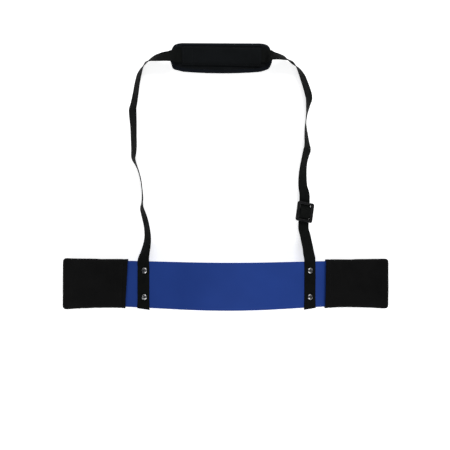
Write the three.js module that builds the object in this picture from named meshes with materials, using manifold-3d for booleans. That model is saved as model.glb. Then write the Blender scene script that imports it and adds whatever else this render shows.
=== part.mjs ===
// Arm blaster: a bent aluminium plate with an elbow pad over each end, hung from the neck by a webbing
// strap with a sliding neck pad and a length adjuster. It lies on its back with the strap laid out
// beyond the plate. Millimetres, +Z up, +X along the plate, +Y from the plate towards the neck pad.

import * as THREE from 'three';
import { mergeVertices } from 'three/addons/utils/BufferGeometryUtils.js';
import Module from 'manifold-3d';

const wasm = await Module();
wasm.setup();

// ---------------------------------------------------------------- driving dimensions

const GAP = 0.3; // clearance between pieces that touch on the real object

const PLATE = {
  width: 90,
  thickness: 3,
  archRadius: 230, // the middle arches up, away from the wearer's waist
  valleyRadius: 125, // and each end turns up again past the elbow
  flankAngle: THREE.MathUtils.degToRad(21.5),
  flankLength: 118,
  endReach: 312, // from the middle to either end, along X
  cornerRadius: 12,
  steps: 91, // odd, so that one facet lies flat across the top of the arch
};

const PAD = {
  reach: 196, // X of the sleeve's open mouth
  wall: 1.4,
  frontFoam: 5.5,
  backFoam: 4,
  sideRoom: 1.6, // between the plate's long edges and the inside of the sleeve
  endRoom: 2.2,
  cornerRadius: 8,
  steps: 18,
};

const WEBBING = { width: 25, thickness: 1.5 };

const SCREW = {
  reach: 161, // X of the left screws from the middle of the plate
  rightShift: -3.5, // the right ones sit nearer to it, by this much along the plate
  upperY: 27,
  lowerY: -24,
  shankRadius: 2.5,
  holeRadius: 2.8,
  headRadius: 6,
  headHeight: 3.4,
  recessSpan: 6,
  recessWidth: 1.1,
  recessDepth: 1.3,
  nutAcross: 8,
  nutHeight: 4,
  washerRadius: 6,
  washerThickness: 1,
  tipPastNut: 0.8,
};

const ANCHOR = { leftShift: -2.5, pastLowerEdge: 2.2 };

const ADJUSTER = {
  width: 40.5,
  height: 39,
  thickness: 3,
  cornerRadius: 4,
  slotWidth: 26,
  endBar: 5,
  centreBar: 4.4,
  bevel: 0.6,
  skew: THREE.MathUtils.degToRad(-7),
  shift: -1.2,
};

const NECK = {
  centreX: -14.5,
  centreY: 446.8,
  length: 200,
  width: 57,
  cornerRadius: 26,
  lining: 1.2,
  foam: 9.5,
  cover: 1.2,
  crown: 3.5, // how far in from the outline the top reaches its full height
  bindingWidth: 2.2,
  bindingBase: 0.5,
  bindingHeight: 4.5,
  tunnelLength: 156,
  tunnelInside: 30,
  tunnelWall: 1,
  tunnelY: 448.3,
};

// The webbing's centre line, from the left screws round the neck and back to the right ones: x, y, z
// from the middle of the plate, and how far the ribbon leans, in degrees. At 0 it lies flat, and at 90
// it stands on edge with the edge that faces the inside of the loop on top.
const STRAP_ROUTE = [
  [-164.8, 40, 30.9, 21.5], [-164.8, 46, 30.7, 23.5], [-164, 53, 29.3, 33], [-162.1, 61, 26.5, 43],
  [-159.8, 72, 22, 49], [-158.2, 84, 17.9, 54.5], [-158.2, 97, 14.6, 58.5], [-160.2, 113, 11.6, 61.5],
  [-162.9, 125, 11.7, 62.5], [-166.5, 137.5, 12, 65.5], [-169.3, 147.5, 12.3, 70.5], [-169.1, 157, 12.7, 80],
  [-168.4, 168, 12.8, 82], [-169.5, 186, 12.8, 85], [-171.8, 203, 12.8, 85], [-176.6, 221, 12.8, 85],
  [-182, 235, 12.8, 81], [-185.7, 244, 12.3, 71], [-186.2, 251, 11.9, 64.5], [-185.5, 266, 11.5, 61],
  [-186.2, 290, 11.3, 59], [-186.7, 310, 11.1, 56.5], [-188.1, 331, 10.6, 51.5], [-188.4, 343, 10.5, 51],
  [-186.5, 351, 10.9, 54], [-182.6, 373, 11.5, 59], [-178.9, 396, 11.8, 62],
  [-174.8, 412.5, 12.1, 65], [-169.8, 423.3, 12.6, 75], [-162.8, 432.8, 12.9, 82],
  [-154.3, 438.2, 14.5, 68], [-145.4, 441.3, 16.2, 51], [-136.5, 442.8, 18, 41],
  [-127.7, 443.9, 19.6, 33], [-118, 444.6, 20.3, 27], [-110, 445.6, 18.2, 12], [-102, 446.5, 13.9, 0],
  [-92, 447.2, 13.9, 0], [-40, 448.2, 13.9, 0], [20, 449, 13.9, 0], [62, 449.4, 13.9, 0],
  [72, 449.3, 13.9, 0], [78, 449, 17.8, 12], [84, 448.5, 22, 32], [90, 448.1, 22.4, 41],
  [96, 448, 20.8, 46], [102.8, 447.5, 17.9, 52], [109.7, 446.1, 15.5, 60], [117.8, 442.3, 13.9, 76],
  [125.8, 437.1, 12.9, 82], [132.6, 431, 12.5, 74], [138, 425, 11.9, 64.5], [145.2, 413.3, 10.9, 53],
  [150.1, 401.6, 10.4, 49], [154.3, 389.7, 10.1, 47], [158, 377.8, 9.9, 46],
  [159.2, 369.5, 10.2, 48], [158, 359.6, 11.5, 60], [156.1, 347.5, 12.3, 70],
  [154.5, 335.5, 12.7, 77.5], [153.2, 321, 12.7, 79], [153.2, 308, 12.4, 72], [154.5, 292, 11.8, 64],
  [156.1, 276, 11.1, 56.5], [156.4, 266, 9.9, 46], [154.2, 258, 10.3, 49.5], [151.3, 246, 10.7, 52.5],
  [149.2, 234, 10.5, 50.5], [147.8, 217, 9.7, 44], [147.9, 199, 9, 38], [149, 189, 8.5, 34],
  [151.4, 180, 8.2, 28.5], [152, 173, 8.2, 27], [151.1, 142, 8.2, 27], [150.1, 108.5, 8.2, 27],
  [151.4, 102.5, 8.6, 27.5], [153.1, 96.5, 9.9, 25.5], [155, 85, 12.9, 25], [157, 73, 17.2, 24],
  [157.9, 61.5, 23, 20.5], [158.6, 53, 28.9, 17], [158.6, 46, 32.4, 21], [158.5, 40, 33.1, 21.5],
];

// The route's points where one length of webbing meets the next.
const CREASE_LEFT = 18;
const PAD_LEFT = 33;
const PAD_RIGHT = 44;
const CREASE_RIGHT = 65;
const ADJUSTER_POINT = 73;
const MM_PER_STEP = 5; // along the webbing

// ---------------------------------------------------------------- materials

function finish(color, roughness, metalness) {
  return new THREE.MeshStandardMaterial({ color, roughness, metalness });
}

const MATERIAL = {
  plate: finish(0x243f86, 0.32, 0.55),
  sleeve: finish(0x151617, 0.9, 0),
  foam: finish(0x26272a, 0.95, 0),
  webbing: finish(0x191b1c, 0.8, 0),
  neckFabric: finish(0x17191b, 0.85, 0),
  steel: finish(0xb9bbbe, 0.25, 1),
  plastic: finish(0x1c1d22, 0.4, 0),
};

// ---------------------------------------------------------------- solids

/** A closed geometry as a manifold, ready to cut or join. */
function solid(geometry) {
  const bare = geometry.clone();
  bare.deleteAttribute('normal');
  bare.deleteAttribute('uv');
  const merged = mergeVertices(bare, 1e-4);
  return new wasm.Manifold(new wasm.Mesh({
    numProp: 3,
    vertProperties: new Float32Array(merged.attributes.position.array),
    triVerts: new Uint32Array(merged.index.array),
  }));
}

function toGeometry(manifold) {
  const mesh = manifold.getMesh();
  const geometry = new THREE.BufferGeometry();
  geometry.setAttribute('position', new THREE.BufferAttribute(mesh.vertProperties, 3));
  geometry.setIndex(new THREE.BufferAttribute(mesh.triVerts, 1));
  geometry.computeVertexNormals();
  return geometry;
}

function cut(geometry, ...cutters) {
  return toGeometry(cutters.reduce((left, cutter) => left.subtract(solid(cutter)), solid(geometry)));
}

function keepInside(geometry, limit) {
  return toGeometry(solid(geometry).intersect(solid(limit)));
}

/** Moves every vertex of a geometry to where place(vertex) says. */
function reshape(geometry, place) {
  const position = geometry.attributes.position;
  const vertex = new THREE.Vector3();
  for (let i = 0; i < position.count; i += 1) {
    place(vertex.fromBufferAttribute(position, i));
    position.setXYZ(i, vertex.x, vertex.y, vertex.z);
  }
  geometry.computeVertexNormals();
  return geometry;
}

/** A rectangle with round corners, centred on the origin. */
function roundedRectangle(width, height, radius, kind = THREE.Shape) {
  const [x, y] = [width / 2, height / 2];
  const outline = new kind();
  outline.moveTo(x, -y + radius);
  outline.absarc(x - radius, y - radius, radius, 0, Math.PI / 2, false);
  outline.absarc(-x + radius, y - radius, radius, Math.PI / 2, Math.PI, false);
  outline.absarc(-x + radius, -y + radius, radius, Math.PI, 1.5 * Math.PI, false);
  outline.absarc(x - radius, -y + radius, radius, 1.5 * Math.PI, 2 * Math.PI, false);
  return outline;
}

/** An outline in the XY plane, raised from z = low to z = high. */
function raised(outline, low, high, curveSegments = 8) {
  const options = { depth: high - low, bevelEnabled: false, curveSegments };
  return new THREE.ExtrudeGeometry(outline, options).translate(0, 0, low);
}

// ---------------------------------------------------------------- the plate's curve

const archLength = PLATE.archRadius * PLATE.flankAngle;
const flankEnd = archLength + PLATE.flankLength;

/** The plate's middle line at a distance s >= 0 from the middle, along the plate: x, drop and slope. */
function halfCurve(s) {
  const a = PLATE.flankAngle;
  const arch = Math.min(s, archLength) / PLATE.archRadius;
  const flank = THREE.MathUtils.clamp(s - archLength, 0, PLATE.flankLength);
  const valley = Math.max(s - flankEnd, 0) / PLATE.valleyRadius;
  const x = PLATE.archRadius * Math.sin(arch) + flank * Math.cos(a)
    + PLATE.valleyRadius * (Math.sin(a) - Math.sin(a - valley));
  const drop = PLATE.archRadius * (1 - Math.cos(arch)) + flank * Math.sin(a)
    + PLATE.valleyRadius * (Math.cos(a - valley) - Math.cos(a));
  return { x, drop, slope: valley > 0 ? valley - a : -arch };
}

/** The distance along the plate at which its middle line reaches x. */
function lengthAt(x) {
  let [low, high] = [0, 2 * Math.abs(x)];
  for (let i = 0; i < 50; i += 1) {
    const middle = (low + high) / 2;
    if (halfCurve(middle).x < Math.abs(x)) low = middle;
    else high = middle;
  }
  return Math.sign(x) * low;
}

const valleyDrop = halfCurve(flankEnd + PLATE.valleyRadius * PLATE.flankAngle).drop;
const half = PLATE.thickness / 2;
const backBuild = half + GAP + PAD.backFoam + GAP + PAD.wall;
const frontBuild = half + GAP + PAD.frontFoam + GAP + PAD.wall;
const archTop = valleyDrop + backBuild; // the sleeves' backs touch z = 0 in the two valleys

/** The point at s along the plate and n out from its middle line, and the slope there. */
function onCurve(s, n = 0) {
  const side = s < 0 ? -1 : 1;
  const { x, drop, slope } = halfCurve(Math.abs(s));
  const angle = side * slope;
  return { x: side * x - n * Math.sin(angle), z: archTop - drop + n * Math.cos(angle), angle };
}

/** A box bent to the plate's curve: s along it, y across it and n out from its middle line. */
function bentBox([s0, s1], [y0, y1], [n0, n1], steps) {
  const box = new THREE.BoxGeometry(s1 - s0, y1 - y0, n1 - n0, steps, 1, 1);
  box.translate((s0 + s1) / 2, (y0 + y1) / 2, (n0 + n1) / 2);
  return reshape(box, (v) => {
    const at = onCurve(v.x, v.z);
    v.set(at.x, v.y, at.z);
  });
}

/** Puts a geometry that is built along +Z onto the plate, square to it. */
function seatOnPlate(geometry, s, y) {
  const at = onCurve(s);
  return geometry.rotateY(-at.angle).translate(at.x, y, at.z);
}

/**
 * A tall prism that stands square to the plate, with its round-cornered end at s = end on one side. Cutting
 * a bent box down to it rounds that end's corners.
 */
function endLimit(side, end, halfWidth, radius) {
  const reach = 300;
  const prism = raised(roundedRectangle(2 * reach, 2 * halfWidth, radius), -150, 450, 5);
  return seatOnPlate(prism.translate(-side * reach, 0, 0), side * end, 0);
}

const plateEnd = lengthAt(PLATE.endReach);
const leftScrews = -lengthAt(SCREW.reach);
const rightScrews = lengthAt(SCREW.reach) + SCREW.rightShift;
const screwSeats = [
  ['left_upper', leftScrews, SCREW.upperY],
  ['left_lower', leftScrews, SCREW.lowerY],
  ['right_upper', rightScrews, SCREW.upperY],
  ['right_lower', rightScrews, SCREW.lowerY],
];

/** Cylinders to cut the screw holes of one side with. */
function holesThrough(radius, side) {
  const hole = new THREE.CylinderGeometry(radius, radius, 20, 20).rotateX(Math.PI / 2);
  return screwSeats
    .filter(([name]) => name.startsWith(side))
    .map(([, s, y]) => seatOnPlate(hole.clone(), s, y));
}

function plateGeometry() {
  const [end, y] = [plateEnd + 2, PLATE.width / 2];
  let plate = bentBox([-end, end], [-y, y], [-half, half], PLATE.steps);
  plate = keepInside(plate, endLimit(-1, plateEnd, y, PLATE.cornerRadius));
  plate = keepInside(plate, endLimit(1, plateEnd, y, PLATE.cornerRadius));
  return cut(plate, ...holesThrough(SCREW.holeRadius, 'left'), ...holesThrough(SCREW.holeRadius, 'right'));
}

// ---------------------------------------------------------------- elbow pads

const padMouth = lengthAt(PAD.reach);
const sleeveInside = PLATE.width / 2 + PAD.sideRoom;
const sleeveOutside = sleeveInside + PAD.wall;

/** The range [s, s] for one side, in rising order, from distances measured outwards. */
function outwards(side, from, to) {
  return side < 0 ? [-to, -from] : [from, to];
}

/** A layer of an elbow pad, from a distance along the plate to its round-cornered end. */
function padLayer(side, [from, end], y, [n0, n1], radius) {
  const box = bentBox(outwards(side, from, end + 2), [-y, y], [n0, n1], PAD.steps);
  return keepInside(box, endLimit(side, end, y, radius));
}

function sleeveGeometry(side) {
  const { wall, cornerRadius } = PAD;
  const end = plateEnd + PAD.endRoom;
  const outside = [-backBuild, frontBuild];
  const inside = [-backBuild + wall, frontBuild - wall];
  const outer = padLayer(side, [padMouth, end + wall], sleeveOutside, outside, cornerRadius);
  const hollow = padLayer(side, [padMouth - 1, end], sleeveInside, inside, cornerRadius - wall);
  return cut(outer, hollow);
}

function foamGeometry(side, thickness) {
  const reach = [padMouth + 1.5, plateEnd + PAD.endRoom - GAP];
  return padLayer(side, reach, sleeveInside - GAP, thickness, PAD.cornerRadius - PAD.wall - GAP);
}

// ---------------------------------------------------------------- fasteners

const anchorTop = half + GAP + WEBBING.thickness;
const headSeat = anchorTop + GAP;
const washerTop = -half - GAP;
const nutTop = washerTop - SCREW.washerThickness - GAP;
const screwTip = nutTop - SCREW.nutHeight - SCREW.tipPastNut;

/** A domed cross-recess screw along +Z, with n = 0 in the middle of the plate. */
function screwGeometry() {
  const rim = 0.6;
  const rise = SCREW.headHeight - rim;
  const dome = new THREE.EllipseCurve(0, headSeat + rim, SCREW.headRadius, rise, 0, Math.PI / 2);
  const profile = [
    new THREE.Vector2(0, screwTip),
    new THREE.Vector2(SCREW.shankRadius - 0.5, screwTip),
    new THREE.Vector2(SCREW.shankRadius, screwTip + 0.5),
    new THREE.Vector2(SCREW.shankRadius, headSeat),
    new THREE.Vector2(SCREW.headRadius, headSeat),
    ...dome.getPoints(6),
  ];
  profile[profile.length - 1].x = 0;
  const body = new THREE.LatheGeometry(profile, 20).rotateX(Math.PI / 2);
  const floor = headSeat + SCREW.headHeight - SCREW.recessDepth;
  const slot = (x, y) => new THREE.BoxGeometry(x, y, 4).translate(0, 0, floor + 2);
  return cut(body, slot(SCREW.recessSpan, SCREW.recessWidth), slot(SCREW.recessWidth, SCREW.recessSpan));
}

function washerGeometry() {
  const ring = new THREE.Shape().absarc(0, 0, SCREW.washerRadius, 0, 2 * Math.PI, false);
  ring.holes.push(new THREE.Path().absarc(0, 0, SCREW.holeRadius, 0, 2 * Math.PI, true));
  return raised(ring, washerTop - SCREW.washerThickness, washerTop, 10);
}

function nutGeometry() {
  const corner = SCREW.nutAcross / Math.sqrt(3);
  const hexagon = new THREE.Shape();
  for (let i = 0; i < 6; i += 1) {
    const angle = (i * Math.PI) / 3;
    hexagon[i ? 'lineTo' : 'moveTo'](corner * Math.cos(angle), corner * Math.sin(angle));
  }
  hexagon.closePath();
  hexagon.holes.push(new THREE.Path().absarc(0, 0, SCREW.holeRadius, 0, 2 * Math.PI, true));
  return raised(hexagon, nutTop - SCREW.nutHeight, nutTop, 8);
}

// ---------------------------------------------------------------- webbing

const route = new THREE.CatmullRomCurve3(STRAP_ROUTE.map(([x, y, z]) => new THREE.Vector3(x, y, z)));
const leanPoints = STRAP_ROUTE.map((point) => new THREE.Vector3(point[3], 0, 0));
const lean = new THREE.CatmullRomCurve3(leanPoints, false, 'catmullrom', 0.3);
const routeStep = 1 / (STRAP_ROUTE.length - 1);

/** The webbing's frame at a point along a path: its place, direction, width and outward face. */
function ribbonFrame(path, leans, t) {
  const along = path.getTangent(t);
  const level = new THREE.Vector3().crossVectors(along, new THREE.Vector3(0, 0, 1)).normalize();
  const upright = new THREE.Vector3().crossVectors(level, along);
  const angle = THREE.MathUtils.degToRad(leans ? leans.getPoint(t).x : 0);
  const across = level.clone().multiplyScalar(Math.cos(angle)).addScaledVector(upright, Math.sin(angle));
  const out = new THREE.Vector3().crossVectors(across, along);
  return { at: path.getPoint(t), along, across, out };
}

/** Webbing along a path from t0 to t1: a long box whose rings follow the path and its lean. */
function webbingAlong(path, leans, t0, t1, steps) {
  const box = new THREE.BoxGeometry(WEBBING.thickness, WEBBING.width, 1, 1, 1, steps);
  return reshape(box, (v) => {
    const frame = ribbonFrame(path, leans, THREE.MathUtils.lerp(t0, t1, v.z + 0.5));
    const [out, across] = [v.x, v.y];
    v.copy(frame.at).addScaledVector(frame.out, out).addScaledVector(frame.across, across);
  });
}

/** Trims a leg of the strap square at the plate's edge, where the end under the screws takes over. */
function startAtPlate(leg) {
  const edge = PLATE.width / 2 + GAP;
  return cut(leg, new THREE.BoxGeometry(500, 20, 100).translate(0, edge - 10, 30));
}

/** One length of the strap between two points of its route, held a little short of its neighbours. */
function strapLength(first, last) {
  const shy = 0.06 * routeStep;
  const [t0, t1] = [first * routeStep + shy, last * routeStep - shy];
  const points = route.points.slice(first, last + 1);
  const length = points.slice(1).reduce((sum, point, i) => sum + point.distanceTo(points[i]), 0);
  return webbingAlong(route, lean, t0, t1, Math.round(length / MM_PER_STEP));
}

/** The end of the strap that lies on the plate under two screws. */
function anchorGeometry(side) {
  const middle = side < 0 ? leftScrews + ANCHOR.leftShift : rightScrews;
  const lowerEnd = -PLATE.width / 2 - ANCHOR.pastLowerEdge;
  const across = [middle - WEBBING.width / 2, middle + WEBBING.width / 2];
  const strip = bentBox(across, [lowerEnd, PLATE.width / 2], [half + GAP, anchorTop], 4);
  return cut(strip, ...holesThrough(SCREW.shankRadius + 2 * GAP, side < 0 ? 'left' : 'right'));
}

// ---------------------------------------------------------------- length adjuster

/** The adjuster's own frame on the webbing's middle: X across the webbing, Y along it, Z out of its face. */
function adjusterPlace() {
  const { at, along, across, out } = ribbonFrame(route, lean, ADJUSTER_POINT * routeStep);
  const sideways = across.negate();
  const turn = new THREE.Matrix4().makeBasis(sideways, along.negate(), out);
  turn.multiply(new THREE.Matrix4().makeRotationZ(ADJUSTER.skew));
  return turn.setPosition(at.addScaledVector(sideways, ADJUSTER.shift));
}

// The frame lies on two layers of webbing: the strap itself, and the turn's ends under its end bars.
const turnLevel = WEBBING.thickness + GAP;
const frameBase = turnLevel + WEBBING.thickness / 2 + GAP;
const frameTop = frameBase + ADJUSTER.thickness;

function adjusterFrameGeometry() {
  const { width, height, bevel } = ADJUSTER;
  const outline = roundedRectangle(width - 2 * bevel, height - 2 * bevel, ADJUSTER.cornerRadius - bevel);
  const slotHeight = (height - 2 * ADJUSTER.endBar - ADJUSTER.centreBar) / 2;
  const slotSize = [ADJUSTER.slotWidth + 2 * bevel, slotHeight + 2 * bevel, 1.6 + bevel];
  for (const side of [-1, 1]) {
    const centre = (side * (ADJUSTER.centreBar + slotHeight)) / 2;
    const slot = roundedRectangle(...slotSize, THREE.Path);
    const points = slot.getPoints(3).map((p) => new THREE.Vector2(p.x, p.y + centre));
    outline.holes.push(new THREE.Path(points.slice(0, -1)));
  }
  const body = new THREE.ExtrudeGeometry(outline, {
    depth: ADJUSTER.thickness - 2 * bevel,
    bevelThickness: bevel,
    bevelSize: bevel,
    bevelSegments: 1,
    curveSegments: 4,
  });
  return body.translate(0, 0, frameBase + bevel);
}

/** The turn of webbing that comes up through one slot, over the centre bar and down through the other. */
function adjusterTurnGeometry() {
  const top = frameTop + WEBBING.thickness / 2 + GAP + 0.1;
  const halfPath = [
    [2.2, top], [4.3, top - 1], [5.9, top - 2.9], [7.6, turnLevel + 0.7],
    [10, turnLevel + 0.1], [12.5, turnLevel], [15.5, turnLevel],
  ];
  const points = [...halfPath.map(([y, z]) => [-y, z]).reverse(), ...halfPath];
  const path = new THREE.CatmullRomCurve3(points.map(([y, z]) => new THREE.Vector3(0, y, z)));
  return webbingAlong(path, null, 0, 1, 30);
}

// ---------------------------------------------------------------- neck pad

const liningTop = NECK.lining;
const foamTop = liningTop + GAP + NECK.foam;
const coverTop = foamTop + GAP + NECK.cover;

/** The neck pad's outline, grown or shrunk by an offset. */
function neckOutline(offset, kind) {
  const grown = 2 * offset;
  return roundedRectangle(NECK.length + grown, NECK.width + grown, NECK.cornerRadius + offset, kind);
}

function neckLiningGeometry() {
  return raised(neckOutline(0), 0, liningTop);
}

function neckFoamGeometry() {
  return raised(neckOutline(-NECK.cover - GAP), liningTop + GAP, foamTop);
}

/** The fabric over the foam: a shallow cap with a sloping rim, open underneath. */
function neckCoverGeometry() {
  const base = liningTop + GAP;
  const rim = new THREE.ExtrudeGeometry(neckOutline(-NECK.crown), {
    depth: coverTop - base - NECK.crown,
    bevelThickness: NECK.crown,
    bevelSize: NECK.crown,
    bevelSegments: 2,
    curveSegments: 8,
  });
  const lowerHalf = raised(neckOutline(10), -NECK.crown - 20, base);
  const cap = cut(rim.translate(0, 0, base), lowerHalf);
  return cut(cap, raised(neckOutline(-NECK.cover), base - 5, coverTop - NECK.cover));
}

function neckBindingGeometry() {
  const ring = neckOutline(GAP + NECK.bindingWidth);
  ring.holes.push(neckOutline(GAP, THREE.Path));
  return raised(ring, NECK.bindingBase, NECK.bindingHeight);
}

/** The fabric tunnel that holds the webbing on top of the pad, open at both ends. */
function neckTunnelGeometry() {
  const base = coverTop + GAP;
  const inside = WEBBING.thickness + 1.1;
  const width = NECK.tunnelInside + 2 * NECK.tunnelWall;
  const outer = new THREE.BoxGeometry(NECK.tunnelLength, width, inside + NECK.tunnelWall);
  const inner = new THREE.BoxGeometry(NECK.tunnelLength + 2, NECK.tunnelInside, inside);
  outer.translate(0, 0, base + (inside + NECK.tunnelWall) / 2);
  inner.translate(0, 0, base + inside / 2 - 0.01);
  return cut(outer, inner);
}

// ---------------------------------------------------------------- assembly

const object = new THREE.Group();

function add(name, geometry, material, parent = object) {
  const mesh = new THREE.Mesh(geometry, material);
  mesh.name = name;
  parent.add(mesh);
  return mesh;
}

const frontFoam = [half + GAP, half + GAP + PAD.frontFoam];
const backFoam = [-half - GAP - PAD.backFoam, -half - GAP];

add('plate', plateGeometry(), MATERIAL.plate);
for (const [word, side] of [['left', -1], ['right', 1]]) {
  add(`elbow_pad_sleeve_${word}`, sleeveGeometry(side), MATERIAL.sleeve);
  add(`elbow_pad_front_foam_${word}`, foamGeometry(side, frontFoam), MATERIAL.foam);
  add(`elbow_pad_back_foam_${word}`, foamGeometry(side, backFoam), MATERIAL.foam);
  add(`strap_anchor_${word}`, anchorGeometry(side), MATERIAL.webbing);
}
for (const [name, s, y] of screwSeats) {
  add(`screw_${name}`, seatOnPlate(screwGeometry(), s, y), MATERIAL.steel);
  add(`washer_${name}`, seatOnPlate(washerGeometry(), s, y), MATERIAL.steel);
  add(`nut_${name}`, seatOnPlate(nutGeometry(), s, y), MATERIAL.steel);
}

add('strap_left_leg', startAtPlate(strapLength(0, CREASE_LEFT)), MATERIAL.webbing);
add('strap_left_shoulder', strapLength(CREASE_LEFT, PAD_LEFT), MATERIAL.webbing);
add('strap_neck_run', strapLength(PAD_LEFT, PAD_RIGHT), MATERIAL.webbing);
add('strap_right_shoulder', strapLength(PAD_RIGHT, CREASE_RIGHT), MATERIAL.webbing);
add('strap_right_leg', startAtPlate(strapLength(CREASE_RIGHT, STRAP_ROUTE.length - 1)), MATERIAL.webbing);

const adjuster = new THREE.Group();
adjuster.applyMatrix4(adjusterPlace());
object.add(adjuster);
add('adjuster_frame', adjusterFrameGeometry(), MATERIAL.plastic, adjuster);
add('adjuster_webbing_turn', adjusterTurnGeometry(), MATERIAL.webbing, adjuster);

const neckPad = new THREE.Group();
neckPad.position.set(NECK.centreX, NECK.centreY, 0);
object.add(neckPad);
add('neck_pad_lining', neckLiningGeometry(), MATERIAL.neckFabric, neckPad);
add('neck_pad_foam', neckFoamGeometry(), MATERIAL.foam, neckPad);
add('neck_pad_cover', neckCoverGeometry(), MATERIAL.neckFabric, neckPad);
add('neck_pad_binding', neckBindingGeometry(), MATERIAL.webbing, neckPad);
const tunnel = add('neck_pad_tunnel', neckTunnelGeometry(), MATERIAL.neckFabric, neckPad);
tunnel.position.y = NECK.tunnelY - NECK.centreY;

// The origin is the middle of the object's footprint: halfway between the lower edge of the elbow pads
// and the far edge of the neck pad.
const farEdge = NECK.centreY + NECK.width / 2 + GAP + NECK.bindingWidth;
object.position.y = -(farEdge - sleeveOutside) / 2;

export default object;
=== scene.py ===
import math
from contextlib import contextmanager

import bmesh
import bpy
import numpy as np
from mathutils import Matrix, Vector, noise
from mathutils.bvhtree import BVHTree


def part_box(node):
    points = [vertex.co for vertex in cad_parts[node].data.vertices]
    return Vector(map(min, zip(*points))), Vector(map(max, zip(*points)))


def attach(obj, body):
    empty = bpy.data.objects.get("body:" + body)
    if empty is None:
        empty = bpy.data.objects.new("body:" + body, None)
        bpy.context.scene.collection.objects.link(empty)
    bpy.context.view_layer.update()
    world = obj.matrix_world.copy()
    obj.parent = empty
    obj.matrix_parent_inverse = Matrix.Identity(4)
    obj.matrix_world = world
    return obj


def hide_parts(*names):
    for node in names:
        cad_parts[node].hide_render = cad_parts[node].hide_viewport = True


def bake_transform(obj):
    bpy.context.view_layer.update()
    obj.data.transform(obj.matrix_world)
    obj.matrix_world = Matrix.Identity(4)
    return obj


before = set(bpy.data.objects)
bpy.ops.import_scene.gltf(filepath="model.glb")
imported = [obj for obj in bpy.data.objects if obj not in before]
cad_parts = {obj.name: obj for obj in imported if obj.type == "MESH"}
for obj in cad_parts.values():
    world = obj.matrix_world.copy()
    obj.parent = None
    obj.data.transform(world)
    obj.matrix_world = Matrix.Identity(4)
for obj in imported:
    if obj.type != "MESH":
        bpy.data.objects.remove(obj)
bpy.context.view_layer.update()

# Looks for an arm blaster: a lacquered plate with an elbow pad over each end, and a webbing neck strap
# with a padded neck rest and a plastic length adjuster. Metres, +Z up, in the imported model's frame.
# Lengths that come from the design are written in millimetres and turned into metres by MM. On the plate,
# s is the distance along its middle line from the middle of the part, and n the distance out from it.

MM = 0.001

# ---- sizes shared with the design, in millimetres

GAP = 0.3  # between pieces that touch on the real object
SIDES = {"left": -1, "right": 1}

ARCH_RADIUS = 230
VALLEY_RADIUS = 125
FLANK_ANGLE = math.radians(21.5)
FLANK_LENGTH = 118
PLATE_REACH = 312  # X of its ends
PLATE_WIDTH = 90
PLATE_THICKNESS = 3
PLATE_CORNER = 12
PLATE_EDGE_ROUND = 0.7

PAD_REACH = 196  # X of the plain sleeves' mouths
PAD_FRONT = 9.0  # how far a sleeve stands out from the plate's middle line, in front and behind
PAD_BACK = 7.5
PAD_SIDE = 48
PAD_END = {"left": 7.4, "right": 4.0}  # how far the stuffing carries each cover past the plate's end
PAD_MOUTHS = {"left": (198, 0.052), "right": (192, 0.017)}  # each cover's mouth: X at Y = 0, and slant
PAD_HEM = 9  # from the mouth
PAD_CLOTH = 1.2
FOAM_SIDE = 45.4

SCREW_REACH = 161  # X of the left screws
RIGHT_SCREW_SHIFT = -3.5  # how much nearer to the middle the right ones are, along the plate
SCREW_YS = (27, -24)
SHANK_RADIUS = 2.5
HOLE_RADIUS = 2.8
HEAD_SEAT = 3.6  # n of the heads' undersides
HEAD_RADIUS = 6
HEAD_HEIGHT = 3.4
SCREW_TIP = -7.9
WASHER_RADIUS = 6
WASHER_THICKNESS = 1
NUT_HALF_WIDTH = 4.0
NUT_HEIGHT = 4

WEB_WIDTH = 25
WEB_THICKNESS = 1.5
ANCHOR_LEVEL = PLATE_THICKNESS / 2 + GAP + WEB_THICKNESS / 2  # n of the webbing's middle on the plate
ANCHOR_YS = (33, 24, 12, 0, -12, -24, -36, -42, -45, -47.2)  # stations from the plate's edge to the cut end
LEFT_ANCHOR_SHIFT = -2.5  # of the strap's left end from its screws, along the plate

NECK_X, NECK_Y = -14.5, 446.8  # the neck pad's middle
NECK_LENGTH, NECK_WIDTH, NECK_CORNER = 200, 57, 26
NECK_BASE = 1.7  # the underside of its padding
TUNNEL_LENGTH = 156
TUNNEL_Y = 448.3
TUNNEL_HEM = 20.5  # from each mouth

ADJUSTER_WIDTH, ADJUSTER_HEIGHT, ADJUSTER_THICKNESS = 40.5, 39, 3
ADJUSTER_BASE = 2.85  # over the strap's middle
ADJUSTER_BEVEL = 0.75
ADJUSTER_SLOT_WIDTH = 26
ADJUSTER_END_BAR, ADJUSTER_CENTRE_BAR = 5, 4.4
ADJUSTER_SKEW = math.radians(-7)
ADJUSTER_SHIFT = -1.2  # to one side of the strap's middle line
ADJUSTER_POINT = 73  # the station of the strap's route that it sits at

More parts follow.
